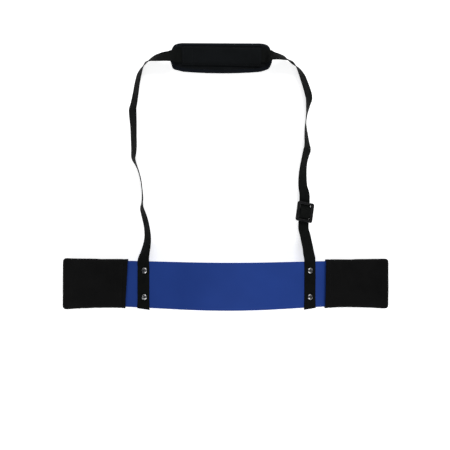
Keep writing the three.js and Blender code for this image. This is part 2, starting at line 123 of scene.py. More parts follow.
# The webbing's middle line from the left screws round the neck to the right ones, from the middle of the
# plate: x, y, z and lean in degrees.
STRAP_ROUTE = [
    (-164.8, 40, 30.9, 21.5), (-164.8, 46, 30.7, 23.5), (-164, 53, 29.3, 33), (-162.1, 61, 26.5, 43),
    (-159.8, 72, 22, 49), (-158.2, 84, 17.9, 54.5), (-158.2, 97, 14.6, 58.5), (-160.2, 113, 11.6, 61.5),
    (-162.9, 125, 11.7, 62.5), (-166.5, 137.5, 12, 65.5), (-169.3, 147.5, 12.3, 70.5), (-169.1, 157, 12.7, 80),
    (-168.4, 168, 12.8, 82), (-169.5, 186, 12.8, 85), (-171.8, 203, 12.8, 85), (-176.6, 221, 12.8, 85),
    (-182, 235, 12.8, 81), (-185.7, 244, 12.3, 71), (-186.2, 251, 11.9, 64.5), (-185.5, 266, 11.5, 61),
    (-186.2, 290, 11.3, 59), (-186.7, 310, 11.1, 56.5), (-188.1, 331, 10.6, 51.5), (-188.4, 343, 10.5, 51),
    (-186.5, 351, 10.9, 54), (-182.6, 373, 11.5, 59), (-178.9, 396, 11.8, 62),
    (-174.8, 412.5, 12.1, 65), (-169.8, 423.3, 12.6, 75), (-162.8, 432.8, 12.9, 82),
    (-154.3, 438.2, 14.5, 68), (-145.4, 441.3, 16.2, 51), (-136.5, 442.8, 18, 41),
    (-127.7, 443.9, 19.6, 33), (-118, 444.6, 20.3, 27), (-110, 445.6, 18.2, 12), (-102, 446.5, 13.9, 0),
    (-92, 447.2, 13.9, 0), (-40, 448.2, 13.9, 0), (20, 449, 13.9, 0), (62, 449.4, 13.9, 0),
    (72, 449.3, 13.9, 0), (78, 449, 17.8, 12), (84, 448.5, 22, 32), (90, 448.1, 22.4, 41),
    (96, 448, 20.8, 46), (102.8, 447.5, 17.9, 52), (109.7, 446.1, 15.5, 60), (117.8, 442.3, 13.9, 76),
    (125.8, 437.1, 12.9, 82), (132.6, 431, 12.5, 74), (138, 425, 11.9, 64.5), (145.2, 413.3, 10.9, 53),
    (150.1, 401.6, 10.4, 49), (154.3, 389.7, 10.1, 47), (158, 377.8, 9.9, 46),
    (159.2, 369.5, 10.2, 48), (158, 359.6, 11.5, 60), (156.1, 347.5, 12.3, 70),
    (154.5, 335.5, 12.7, 77.5), (153.2, 321, 12.7, 79), (153.2, 308, 12.4, 72), (154.5, 292, 11.8, 64),
    (156.1, 276, 11.1, 56.5), (156.4, 266, 9.9, 46), (154.2, 258, 10.3, 49.5), (151.3, 246, 10.7, 52.5),
    (149.2, 234, 10.5, 50.5), (147.8, 217, 9.7, 44), (147.9, 199, 9, 38), (149, 189, 8.5, 34),
    (151.4, 180, 8.2, 28.5), (152, 173, 8.2, 27), (151.1, 142, 8.2, 27), (150.1, 108.5, 8.2, 27),
    (151.4, 102.5, 8.6, 27.5), (153.1, 96.5, 9.9, 25.5), (155, 85, 12.9, 25), (157, 73, 17.2, 24),
    (157.9, 61.5, 23, 20.5), (158.6, 53, 28.9, 17), (158.6, 46, 32.4, 21), (158.5, 40, 33.1, 21.5),
]

low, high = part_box("plate")
PLATE_Y = (low.y + high.y) / 2 / MM  # the plate's middle, which the design's Y starts from
low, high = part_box("elbow_pad_sleeve_left")
VALLEY_Z = low.z / MM + PAD_BACK


def to_row(points):
    """Points in millimetres from the middle of the plate, as metres in the row frame."""
    return (np.asarray(points, float) + [0, PLATE_Y, 0]) * MM


# ---- camera, light and floor

def make_camera():
    """The view from above, a little left of the middle, from as far as the plate's bowed edges tell."""
    data = bpy.data.cameras.new("camera")
    camera = bpy.data.objects.new("camera", data)
    bpy.context.scene.collection.objects.link(camera)
    tilt, roll, distance = 0.0476, 0.0041, 1248.5
    back = Vector((-math.sin(tilt), 0, math.cos(tilt)))
    right = Vector((math.cos(tilt), 0, math.sin(tilt)))
    up = back.cross(right)
    aim = Vector((-5.4, 115.5, 0))
    turn = Matrix.Rotation(roll, 4, "Z")
    pose = turn @ Matrix((right, up, back)).transposed().to_4x4()
    pose.translation = Vector(to_row(turn @ (aim + distance * back)))
    camera.matrix_world = pose
    focal_pixels, picture_pixels = 627.4, 450
    data.sensor_width = 36
    data.lens = 36 * focal_pixels / picture_pixels
    data.clip_end = 50
    bpy.context.scene.camera = camera


def area_light(name, place, target, size, power):
    data = bpy.data.lights.new(name, "AREA")
    data.shape = "RECTANGLE"
    data.size, data.size_y = size
    data.energy = power
    light = bpy.data.objects.new(name, data)
    bpy.context.scene.collection.objects.link(light)
    light.location = place
    light.rotation_euler = (Vector(place) - Vector(target)).to_track_quat("Z", "Y").to_euler()


def make_world():
    """Dim light from all round, and a pale backdrop where the camera looks past the floor."""
    world = bpy.data.worlds.new("studio")
    world.use_nodes = True
    tree = world.node_tree
    tree.nodes.clear()
    dim = add(tree, "Background", {"Color": (0.9, 0.95, 1, 1), "Strength": 0.1})
    pale = add(tree, "Background", {"Color": (0.93, 0.93, 0.94, 1), "Strength": 1.0})
    seen = add(tree, "LightPath").outputs["Is Camera Ray"]
    mix = add(tree, "MixShader", {0: seen, 1: dim.outputs[0], 2: pale.outputs[0]})
    add(tree, "OutputWorld", {"Surface": mix.outputs[0]})
    bpy.context.scene.world = world


def make_stage():
    area_light("back_softbox", (0.2, 2.1, 1.7), (0, 0, 0), (2.4, 1.1), 59)
    area_light("front_softbox", (0.15, -2.1, 1.7), (0, 0, 0), (2.4, 1.1), 55)
    area_light("right_softbox", (2.0, 0.3, 0.85), (0.1, -0.2, 0), (0.4, 0.7), 1.2)
    make_world()
    bpy.context.scene.view_settings.view_transform = "Standard"
    reach = 6.0
    corners = [(-reach, -reach, 0), (reach, -reach, 0), (reach, reach, 0), (-reach, reach, 0)]
    floor = piece("floor", corners, [(0, 1, 2, 3)], material_floor(), smooth=False)


# ---- materials

def new_material(name, color, roughness, **sockets):
    """A Principled material, its shader and its node tree. Constants go straight on its sockets."""
    material = bpy.data.materials.new(name)
    material.use_nodes = True
    shader = material.node_tree.nodes["Principled BSDF"]
    shader.inputs["Base Color"].default_value = (*color, 1)
    shader.inputs["Roughness"].default_value = roughness
    for socket, value in sockets.items():
        shader.inputs[socket.replace("_", " ")].default_value = value
    return material, shader, material.node_tree


def add(tree, kind, inputs=None, **settings):
    """A node with its settings and inputs. An input that is a socket is linked, any other is a value."""
    node = tree.nodes.new("ShaderNode" + kind)
    for key, value in settings.items():
        setattr(node, key, value)
    for key, value in (inputs or {}).items():
        if isinstance(value, bpy.types.NodeSocket):
            tree.links.new(value, node.inputs[key])
        else:
            node.inputs[key].default_value = value
    return node


def math_node(tree, operation, a, b=0.0):
    return add(tree, "Math", {0: a, 1: b}, operation=operation).outputs[0]


def weighed(tree, first, first_weight, second, second_weight):
    """The sum of two values, each times its weight."""
    parts = [math_node(tree, "MULTIPLY", *part) for part in ((first, first_weight), (second, second_weight))]
    return math_node(tree, "ADD", *parts)


def object_place(tree):
    return add(tree, "TexCoord").outputs["Object"]


def mottle(tree, place, scale, detail=3.0, roughness=0.55):
    """Soft noise from 0 to 1, at a scale in cycles per metre."""
    inputs = {"Vector": place, "Scale": scale, "Detail": detail, "Roughness": roughness}
    return add(tree, "TexNoise", inputs).outputs[0]


def between(tree, share, low_value, high_value, low_share=0.3, high_share=0.7):
    """A value that goes from one number to another as a share does between two limits."""
    inputs = {"Value": share, 1: low_share, 2: high_share, 3: low_value, 4: high_value}
    return add(tree, "MapRange", inputs).outputs[0]


def tint(tree, share, dark, light, low_share=0.3, high_share=0.7):
    """A colour that goes from dark to light as a share does."""
    factor = between(tree, share, 0.0, 1.0, low_share, high_share)
    mix = add(tree, "Mix", data_type="RGBA")
    tree.links.new(factor, mix.inputs[0])
    mix.inputs[6].default_value = (*dark, 1)
    mix.inputs[7].default_value = (*light, 1)
    return mix.outputs[2]


def bump(tree, height, distance, strength=1.0, normal=None):
    inputs = {"Height": height, "Distance": distance, "Strength": strength}
    if normal is not None:
        inputs["Normal"] = normal
    return add(tree, "Bump", inputs).outputs[0]


def finish_with(tree, shader, **linked):
    for socket, value in linked.items():
        tree.links.new(value, shader.inputs[socket.replace("_", " ")])


def threads(tree, place, pitch):
    """A plain weave's height: two sets of ripples, a pitch apart in metres, that cross on every side."""
    waves = []
    for direction in ((0.75, 0.55, 0.4), (-0.55, 0.75, 0.4)):
        turns = [2 * math.pi / pitch * share for share in direction]
        spot = add(tree, "VectorMath", {0: place, 1: turns}, operation="DOT_PRODUCT").outputs["Value"]
        waves.append(math_node(tree, "SINE", spot))
    return math_node(tree, "MULTIPLY", *waves)


def material_floor():
    return new_material("floor_paper", (0.86, 0.86, 0.86), 0.9, Specular_IOR_Level=0.0,
                        Emission_Color=(1, 1, 1, 1), Emission_Strength=0.6)[0]


def material_lacquer():
    """Blue lacquer on sheet metal: a faint orange peel, slow colour drift and fine rubbed patches."""
    material, shader, tree = new_material(
        "blue_lacquer", (0.0155, 0.046, 0.23), 0.3, Specular_IOR_Level=0.16, Coat_Weight=0.06,
        Coat_Roughness=0.1)
    place = object_place(tree)
    drift = tint(tree, mottle(tree, place, 9, 2.0), (0.0142, 0.042, 0.212), (0.0172, 0.05, 0.248))
    rubbed = mottle(tree, place, 140, 5.0, 0.7)
    streaks = add(tree, "Mapping", {"Vector": place, "Scale": (0.08, 1, 1)}).outputs[0]
    scuff = mottle(tree, streaks, 420, 3.0, 0.6)
    grain = math_node(tree, "MULTIPLY", rubbed, scuff)
    finish_with(tree, shader, Base_Color=drift, Roughness=between(tree, grain, 0.34, 0.47, 0.1, 0.45))
    peel = bump(tree, mottle(tree, place, 900, 1.0), 0.00004, 0.6)
    finish_with(tree, shader, Normal=bump(tree, scuff, 0.00002, 0.5, peel))
    return material


def material_cloth(name, color, pitch, sheen):
    """Woven black cloth: threads a pitch apart in metres, slow fading, a little lint and a soft sheen."""
    material, shader, tree = new_material(
        name, color, 0.9, Specular_IOR_Level=0.05, Sheen_Weight=sheen, Sheen_Roughness=0.45,
        Sheen_Tint=(0.8, 0.84, 0.9, 1))
    place = object_place(tree)
    faded = mottle(tree, place, 28, 4.0)
    lint = mottle(tree, place, 1400, 2.0, 0.7)
    share = weighed(tree, faded, 0.7, lint, 0.3)
    pale = tuple(1.9 * c for c in color)
    finish_with(tree, shader, Base_Color=tint(tree, share, color, pale, 0.35, 0.7))
    finish_with(tree, shader, Roughness=between(tree, faded, 0.78, 0.92))
    weave = bump(tree, threads(tree, place, pitch), 0.00009, 0.45)
    finish_with(tree, shader, Normal=bump(tree, mottle(tree, place, 260, 3.0), 0.0003, 0.35, weave))
    return material


def material_webbing(name, color):
    """Woven webbing, from its own coordinates: across in U and along in V, both in metres."""
    rib_across, rib_along = 0.0022, 0.0026
    material, shader, tree = new_material(
        name, color, 0.85, Specular_IOR_Level=0.03, Sheen_Weight=0.004, Sheen_Roughness=0.4)
    web = add(tree, "SeparateXYZ", {0: add(tree, "UVMap", uv_map="web").outputs[0]})
    across = math_node(tree, "SINE", math_node(tree, "MULTIPLY", web.outputs[0], 2 * math.pi / rib_across))
    along = math_node(tree, "SINE", math_node(tree, "MULTIPLY", web.outputs[1], 2 * math.pi / rib_along))
    crossed = math_node(tree, "MULTIPLY", across, along)
    height = math_node(tree, "ADD", math_node(tree, "MULTIPLY", crossed, 0.5), 0.5)
    place = object_place(tree)
    worn = mottle(tree, place, 60, 4.0)
    # The colour is partly real wear, from the worn noise, and partly painted light and shade: the weave's
    # raised threads lighter and its hollows darker.
    pale = tuple(2.2 * c for c in color)
    share = weighed(tree, worn, 0.6, height, 0.35)
    finish_with(tree, shader, Base_Color=tint(tree, share, color, pale, 0.3, 0.85))
    finish_with(tree, shader, Roughness=between(tree, worn, 0.6, 0.82))
    finish_with(tree, shader, Normal=bump(tree, height, 0.00022, 0.7))
    return material


def material_foam():
    """Open-cell foam: pores sunk in by the bump, with painted shade that darkens them."""
    material, shader, tree = new_material("foam", (0.018, 0.018, 0.02), 0.95, Specular_IOR_Level=0.15)
    place = object_place(tree)
    pores = add(tree, "TexVoronoi", {"Vector": place, "Scale": 900.0}).outputs["Distance"]
    # Painted shade: the colour is darkest at the pores' middles, where the bump sinks them.
    color = tint(tree, pores, (0.008, 0.008, 0.009), (0.03, 0.03, 0.033), 0.1, 0.7)
    finish_with(tree, shader, Base_Color=color)
    finish_with(tree, shader, Normal=bump(tree, pores, 0.0003, 0.6))
    return material


def material_metal(name, color, roughness, spread):
    """Plated steel: a fine grain in the bump, fingerprints in the gloss and a little grime."""
    material, shader, tree = new_material(name, color, roughness, Metallic=1.0)
    place = object_place(tree)
    smear = mottle(tree, place, 500, 4.0)
    grime = mottle(tree, place, 1300, 3.0, 0.7)
    dull = tuple(0.72 * c for c in color)
    finish_with(tree, shader, Base_Color=tint(tree, grime, dull, color, 0.3, 0.5))
    finish_with(tree, shader, Roughness=between(tree, smear, roughness, roughness + spread))
    finish_with(tree, shader, Normal=bump(tree, mottle(tree, place, 2600, 2.0), 0.00001, 0.4))
    return material


def material_plastic():
    """Moulded black nylon: a glossy skin with fine texture and slight flow marks."""
    material, shader, tree = new_material(
        "black_plastic", (0.0045, 0.0045, 0.005), 0.4, Specular_IOR_Level=0.2)
    place = object_place(tree)
    flow = mottle(tree, place, 90, 3.0)
    grain = mottle(tree, place, 2200, 2.0)
    color = tint(tree, flow, (0.0035, 0.0035, 0.004), (0.0065, 0.0065, 0.0075))
    finish_with(tree, shader, Base_Color=color)
    finish_with(tree, shader, Roughness=between(tree, flow, 0.32, 0.5))
    finish_with(tree, shader, Normal=bump(tree, grain, 0.00002, 0.5))
    return material


# ---- mesh helpers

def finish_piece(thing, body, slot, *nodes):
    """Puts a piece on its body, and hides the nodes that it stands for. Its slot is not used."""
    if nodes:
        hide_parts(*nodes)
    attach(thing, body)


def piece(name, points, faces, material, smooth=True, uvs=None):
    """A mesh object from points in metres. uvs gives each point's place on the cloth, for a weave."""
    mesh = bpy.data.meshes.new(name)
    mesh.from_pydata([tuple(p) for p in points], [], faces)
    mesh.polygons.foreach_set("use_smooth", [smooth] * len(mesh.polygons))
    if uvs is not None:
        layer = mesh.uv_layers.new(name="web")
        corner_points = np.empty(len(mesh.loops), int)
        mesh.loops.foreach_get("vertex_index", corner_points)
        layer.data.foreach_set("uv", np.asarray(uvs, float)[corner_points].ravel())
    mesh.materials.append(material)
    mesh.validate()
    mesh.update()
    made = bpy.data.objects.new(name, mesh)
    bpy.context.scene.collection.objects.link(made)
    return made


CORNERS = ((1, 1), (-1, 1), (-1, -1), (1, -1))  # of a rectangle, counter-clockwise


def loft(rings, caps=True, closed=False):
    """Quads between rings of points, each ring a closed loop; closed joins the last ring to the first."""
    rings = np.asarray(rings, float)
    count, around = rings.shape[:2]
    faces = []
    for i in range(count if closed else count - 1):
        a, b = i * around, ((i + 1) % count) * around
        for j in range(around):
            k = (j + 1) % around
            faces.append((a + j, a + k, b + k, b + j))
    if caps and not closed:
        faces.append(tuple(range(around - 1, -1, -1)))
        faces.append(tuple((count - 1) * around + j for j in range(around)))
    return rings.reshape(-1, 3), faces


@contextmanager
def editing(thing):
    """A piece's mesh, open for editing."""
    mesh = bmesh.new()
    mesh.from_mesh(thing.data)
    yield mesh
    mesh.to_mesh(thing.data)
    mesh.free()


def closed_piece(name, points, faces, material, uvs=None):
    """A piece whose mesh is closed, with its faces turned outwards."""
    made = piece(name, points, faces, material, uvs=uvs)
    with editing(made) as mesh:
        bmesh.ops.recalc_face_normals(mesh, faces=mesh.faces)
    return made


def apply_modifiers(thing):
    graph = bpy.context.evaluated_depsgraph_get()
    mesh = bpy.data.meshes.new_from_object(thing.evaluated_get(graph))
    old = thing.data
    thing.modifiers.clear()
    thing.data = mesh
    bpy.data.meshes.remove(old)


def rounded_section(half_width, half_height, radius, hold):
    """A rectangle's outline with round corners and a point a little inside each, at a distance of hold, so
    that its flat sides shade flat."""
    points, steps = [], 3
    for turn, (sx, sy) in enumerate(CORNERS):
        cx, cy = sx * (half_width - radius), sy * (half_height - radius)
        corner = []
        for k in range(steps + 1):
            angle = (turn + k / steps) * math.pi / 2
            corner.append((cx + radius * math.cos(angle), cy + radius * math.sin(angle)))
        if turn % 2 == 0:
            corner.append((corner[-1][0] - sx * hold, corner[-1][1]))
        else:
            corner.insert(0, (corner[0][0] - sx * hold, corner[0][1]))
        points += corner
    return np.array(points)


# ---- the plate's curve

ARCH_LENGTH = ARCH_RADIUS * FLANK_ANGLE
FLANK_END = ARCH_LENGTH + FLANK_LENGTH


def half_curve(s):
    """The plate's middle line at a distance s >= 0 from the middle, along the plate: x, drop and slope."""
    arch = min(s, ARCH_LENGTH) / ARCH_RADIUS
    flank = min(max(s - ARCH_LENGTH, 0), FLANK_LENGTH)
    valley = max(s - FLANK_END, 0) / VALLEY_RADIUS
    x = ARCH_RADIUS * math.sin(arch) + flank * math.cos(FLANK_ANGLE)
    x += VALLEY_RADIUS * (math.sin(FLANK_ANGLE) - math.sin(FLANK_ANGLE - valley))
    drop = ARCH_RADIUS * (1 - math.cos(arch)) + flank * math.sin(FLANK_ANGLE)
    drop += VALLEY_RADIUS * (math.cos(FLANK_ANGLE - valley) - math.cos(FLANK_ANGLE))
    return x, drop, (valley - FLANK_ANGLE if valley > 0 else -arch)


def length_at(x):
    """The distance along the plate at which its middle line reaches x."""
    lower, upper = 0.0, 2.0 * x
    for _ in range(50):
        middle = (lower + upper) / 2
        lower, upper = (middle, upper) if half_curve(middle)[0] < x else (lower, middle)
    return lower


APEX_Z = VALLEY_Z + half_curve(FLANK_END + VALLEY_RADIUS * FLANK_ANGLE)[1]
PLATE_END = length_at(PLATE_REACH)
SCREW_SEATS = {"left": -length_at(SCREW_REACH), "right": length_at(SCREW_REACH) + RIGHT_SCREW_SHIFT}
PAD_MOUTH = length_at(PAD_REACH)


def on_curve(s, n=0.0):
    """The point at s along the plate and n out from its middle line: x, z and the slope there."""
    side = -1 if s < 0 else 1
    x, drop, slope = half_curve(abs(s))
    angle = side * slope
    return side * x - n * math.sin(angle), APEX_Z - drop + n * math.cos(angle), angle


def bend(points):
    """Points given as (s, y, n) on the plate, as metres in the row frame."""
    bent = []
    for s, y, n in points:
        x, z, _ = on_curve(s, n)
        bent.append((x, y, z))
    return to_row(bent)


# ---- the strap's route

def spline(stations, t):
    """A centripetal Catmull-Rom curve through stations, at t counted in stations."""
    i = min(int(t), len(stations) - 2)
    u = t - i
    p1, p2 = stations[i], stations[i + 1]
    p0 = stations[i - 1] if i > 0 else 2 * p1 - p2
    p3 = stations[i + 2] if i + 2 < len(stations) else 2 * p2 - p1
    d0, d1, d2 = (max(np.linalg.norm((b - a)[:3]), 1e-6) ** 0.5 for a, b in ((p0, p1), (p1, p2), (p2, p3)))
    m1 = d1 * ((p1 - p0) / d0 - (p2 - p0) / (d0 + d1) + (p2 - p1) / d1)
    m2 = d1 * ((p2 - p1) / d1 - (p3 - p1) / (d1 + d2) + (p3 - p2) / d2)
    return ((2 * u**3 - 3 * u**2 + 1) * p1 + (u**3 - 2 * u**2 + u) * m1
            + (3 * u**2 - 2 * u**3) * p2 + (u**3 - u**2) * m2)


def ribbon_axes(along, lean):
    """Unit vectors across the webbing and out of its face, from its direction and its lean in degrees."""
    level = np.cross(along, (0, 0, 1))
    level /= np.linalg.norm(level)
    upright = np.cross(level, along)
    angle = math.radians(lean)
    across = math.cos(angle) * level + math.sin(angle) * upright
    return across, np.cross(across, along)


def run_along(points):
    """The distance from the first point to each, along the line through them all."""
    return np.concatenate([[0], np.cumsum(np.linalg.norm(np.diff(points, axis=0), axis=1))])


def ribbon_frames(stations, spacing):
    """Evenly spaced frames along a route with leans: place, across, out and the distance so far."""
    stations = np.array(stations, float)
    fine = np.array([spline(stations, t) for t in np.linspace(0, len(stations) - 1, 40 * len(stations))])
    run = run_along(fine[:, :3])
    count = max(int(run[-1] / spacing), 2)
    distances = np.linspace(0, run[-1], count + 1)
    even = np.array([np.interp(distances, run, fine[:, k]) for k in range(4)]).T
    frames = []
    for i, (x, y, z, lean) in enumerate(even):
        ahead, behind = even[min(i + 1, count), :3], even[max(i - 1, 0), :3]
        along = (ahead - behind) / np.linalg.norm(ahead - behind)
        frames.append((np.array([x, y, z]), *ribbon_axes(along, lean), distances[i]))
    return frames


def webbing_section():
    """The webbing's cross-section: 25 by 1.5 mm with round edges, and a few points across both faces."""
    outline = [tuple(p) for p in rounded_section(WEB_WIDTH / 2, WEB_THICKNESS / 2, 0.62, 1.2)]
    across = [(a, face * WEB_THICKNESS / 2) for face in (-1, 1) for a in (-8, -4, 0, 4, 8)]
    return sorted(outline + across, key=lambda p: math.atan2(12 * p[1], p[0]))


def webbing_piece(name, frames, shape):
    """Webbing along frames. shape(place, a, o) moves a point that is a across and o out from the middle."""
    section = webbing_section()
    rings, uvs = [], []
    for place, across, out, distance in frames:
        moved = [shape(place, a, o) for a, o in section]
        rings.append([place + across * a + out * o for a, o in moved])
        uvs += [(a * MM, distance * MM) for a, o in section]
    points, faces = loft(rings)
    return closed_piece(name, to_row(points), faces, WEBBING, uvs)


# ---- plate

def plate_half_width(from_end):
    if from_end >= PLATE_CORNER:
        return PLATE_WIDTH / 2
    return PLATE_WIDTH / 2 - PLATE_CORNER + math.sqrt(PLATE_CORNER**2 - (PLATE_CORNER - from_end) ** 2)


def plate_ring(s, shrink=0.0):
    """A cross-section of the plate: rolled edges and, between them, a face that is very slightly uneven."""
    width = plate_half_width(PLATE_END - abs(s)) - shrink
    half = PLATE_THICKNESS / 2 - shrink
    edge = rounded_section(width, half, min(PLATE_EDGE_ROUND, half - 0.01), 0.7)
    corners = len(edge) // 4
    ring = []
    for k, (y, n) in enumerate(edge):
        ring.append((s, y, n))
        if k in (corners - 1, 3 * corners - 1):
            after = edge[k + 1]
            ring += [(s, y + (after[0] - y) * t / 10, n) for t in range(1, 10)]
    return [(a, y, n + 0.09 * dents(a, y)) for a, y, n in ring]


def dents(s, y):
    return noise.noise((s * 0.011, y * 0.02, 3.7)) + 0.4 * noise.noise((s * 0.03, y * 0.045, 9.1))


def hole_cutter(s, y):
    """A cylinder through the plate at one screw."""
    points, faces = lathe([(HOLE_RADIUS, -9), (HOLE_RADIUS, 9)], 32)
    return closed_piece("cutter", on_seat(points, s, y), faces, STEEL)


def cut_with(thing, cutters):
    """Cuts the cutters out of a piece, and removes them."""
    for cutter in cutters:
        boolean = thing.modifiers.new("cut", "BOOLEAN")
        boolean.operation = "DIFFERENCE"
        boolean.solver = "EXACT"
        boolean.object = cutter
    apply_modifiers(thing)
    for cutter in cutters:
        bpy.data.objects.remove(cutter)


def build_plate():
    near_end = [0.2, 0.7, 1.5, 3, 5, 8, 12]
    inner = np.linspace(-PLATE_END + 15, PLATE_END - 15, 217)
    stations = [-PLATE_END + d for d in near_end] + list(inner) + [PLATE_END - d for d in reversed(near_end)]
    ends = [[plate_ring(s, PLATE_EDGE_ROUND)] for s in (-PLATE_END, PLATE_END)]
    points, faces = loft(ends[0] + [plate_ring(s) for s in stations] + ends[1])
    plate = closed_piece("plate_sheet", bend(points), faces, LACQUER)
    cut_with(plate, [hole_cutter(SCREW_SEATS[word], y) for word in SIDES for y in SCREW_YS])
    finish_piece(plate, "plate", "plate_enamel", "plate")


# ---- fasteners

def on_seat(points, s, y):
    """Points built round +Z, put square to the plate at s and y, as metres in the row frame."""
    x0, z0, angle = on_curve(s)
    cos, sin = math.cos(angle), math.sin(angle)
    return to_row([(x0 + x * cos - z * sin, y + v, z0 + x * sin + z * cos) for x, v, z in points])


def lathe(profile, segments=48, closed=False):
    """Rings round Z from a profile of (radius, height)."""
    angles = np.linspace(0, 2 * math.pi, segments, endpoint=False)
    rings = [[(r * math.cos(a), r * math.sin(a), z) for a in angles] for r, z in profile]
    return loft(rings, caps=not closed, closed=closed)


def screw_profile():
    """From the tip up: a chamfered tip with threads, a plain shank, and a domed head with a rolled rim."""
    thread_pitch, thread_end, rim = 0.8, -2.2, 0.45
    profile = [(1.6, SCREW_TIP), (2.05, SCREW_TIP + 0.25)]
    height = SCREW_TIP + 0.5
    while height < thread_end:
        profile += [(SHANK_RADIUS, height), (2.12, height + thread_pitch / 2)]
        height += thread_pitch
    profile += [(SHANK_RADIUS, -1.9), (SHANK_RADIUS, HEAD_SEAT), (HEAD_RADIUS - 0.35, HEAD_SEAT),
                (HEAD_RADIUS - 0.08, HEAD_SEAT + 0.12)]
    for k in range(13):
        angle = k / 12 * math.pi / 2
        profile.append((max(HEAD_RADIUS * math.cos(angle), 0.05),
                        HEAD_SEAT + rim + (HEAD_HEIGHT - rim) * math.sin(angle)))
    return profile


def cross_recess(turn):
    """The four-winged recess of a cross-head screw, tapering to its floor. turn is how far it is turned."""
    wings = []
    top, floor = HEAD_SEAT + HEAD_HEIGHT + 1, HEAD_SEAT + HEAD_HEIGHT - 1.9
    for z, span, width in ((floor, 1.1, 0.5), (top - 1.2, 3.1, 0.62), (top, 3.6, 0.72)):
        ring = []
        for k in range(4):
            base = turn + k * math.pi / 2
            for along, side in ((span, -width), (span, width), (width, width)):
                ring.append((along * math.cos(base) - side * math.sin(base),
                             along * math.sin(base) + side * math.cos(base), z))
        wings.append(ring)
    return loft(wings)


def build_fasteners():
    washer_top = -PLATE_THICKNESS / 2 - GAP
    washer_profile = [(HOLE_RADIUS, washer_top), (HOLE_RADIUS, washer_top - WASHER_THICKNESS),
                      (WASHER_RADIUS - 0.2, washer_top - WASHER_THICKNESS), (WASHER_RADIUS, washer_top - 0.8),
                      (WASHER_RADIUS, washer_top - 0.2), (WASHER_RADIUS - 0.2, washer_top)]
    nut_top = washer_top - (WASHER_THICKNESS + GAP)
    turns = {"left_upper": 0.35, "left_lower": 0.9, "right_upper": 0.12, "right_lower": 1.25}
    for name, turn in turns.items():
        word, height = name.split("_")
        seat = (SCREW_SEATS[word], SCREW_YS[height == "lower"])
        for kind, (points, faces), material, slot, sharp in (
                ("screw", lathe(screw_profile()), STEEL, "screw_head", 38),
                ("washer", lathe(washer_profile, closed=True), ZINC, "zinc_steel", 38),
                ("nut", nut_mesh(nut_top - NUT_HEIGHT, nut_top, turn), ZINC, "zinc_steel", 25)):
            fastener = closed_piece(f"{kind}_{name}_steel", on_seat(points, *seat), faces, material)
            if kind == "screw":
                points, faces = cross_recess(turn)
                cut_with(fastener, [closed_piece("cutter", on_seat(points, *seat), faces, STEEL)])
            sharp_by_angle(fastener, sharp)
            finish_piece(fastener, "plate", slot, f"{kind}_{name}")


def nut_mesh(low_z, high_z, turn):
    """A hexagon nut with chamfered corners and a countersunk thread."""
    angles = np.linspace(0, 2 * math.pi, 72, endpoint=False)
    hexagon = [NUT_HALF_WIDTH / math.cos((a % (math.pi / 3)) - math.pi / 6) for a in angles]
    rings = []
    for z, radius in ((low_z, 3.1), (low_z, 4.05), (low_z + 0.45, 9), (high_z - 0.45, 9), (high_z, 4.05),
                      (high_z, 3.1), (high_z - 0.35, 2.75), (low_z + 0.35, 2.75)):
        ring = [(min(radius, h) * math.cos(a + turn), min(radius, h) * math.sin(a + turn), z)
                for a, h in zip(angles, hexagon)]
        rings.append(ring)
    return loft(rings, closed=True)


def sharp_by_angle(thing, degrees):
    """Marks edges sharper than an angle, so that flat faces and corners shade as machined ones do."""
    with editing(thing) as mesh:
        for face in mesh.faces:
            face.smooth = True
        for edge in mesh.edges:
            edge.smooth = len(edge.link_faces) == 2 and edge.calc_face_angle(0) < math.radians(degrees)


# ---- padding

def box_shell(counts):
    """The lattice points on the surface of a box of cells, and its quads."""
    index, faces = {}, []
    for axis in range(3):
        u, v = [k for k in range(3) if k != axis]
        for level in (0, counts[axis]):
            for i in range(counts[u]):
                for j in range(counts[v]):
                    quad = []
                    for di, dj in ((0, 0), (1, 0), (1, 1), (0, 1)):
                        corner = [0, 0, 0]
                        corner[axis], corner[u], corner[v] = level, i + di, j + dj
                        quad.append(index.setdefault(tuple(corner), len(index)))
                    faces.append(quad)
    return np.array(list(index), float), faces


def rounded_box(low_corner, high_corner, radius, cell, open_low=False):
    """A box of even quads with round edges. With open_low its low side along X stays square."""
    low_corner, high_corner = np.array(low_corner, float), np.array(high_corner, float)
    counts = np.maximum(np.round((high_corner - low_corner) / cell).astype(int), 3)
    lattice, faces = box_shell([int(c) for c in counts])
    points = low_corner + lattice / counts * (high_corner - low_corner)
    inner_low, inner_high = low_corner + radius, high_corner - radius
    if open_low:
        inner_low[0] = low_corner[0]
    core = np.clip(points, inner_low, inner_high)
    away = points - core
    length = np.linalg.norm(away, axis=1, keepdims=True)
    rounded = core + away / np.maximum(length, 1e-9) * radius
    return np.where(length > 1e-6, rounded, points), faces


def vertex_values(mesh, name):
    values = np.empty(3 * len(mesh.vertices))
    mesh.vertices.foreach_get(name, values)
    return values.reshape(-1, 3)


def coordinates(thing):
    return vertex_values(thing.data, "co")


def set_coordinates(thing, values):
    thing.data.vertices.foreach_set("co", np.ascontiguousarray(values, float).ravel())
    thing.data.update()


def remesh(thing):
    """Gives a piece the same shape in even quads, which is what the cloth needs."""
    modifier = thing.modifiers.new("remesh", "REMESH")
    modifier.mode = "VOXEL"
    modifier.voxel_size = 3.0 * MM
    modifier.use_smooth_shade = True
    apply_modifiers(thing)


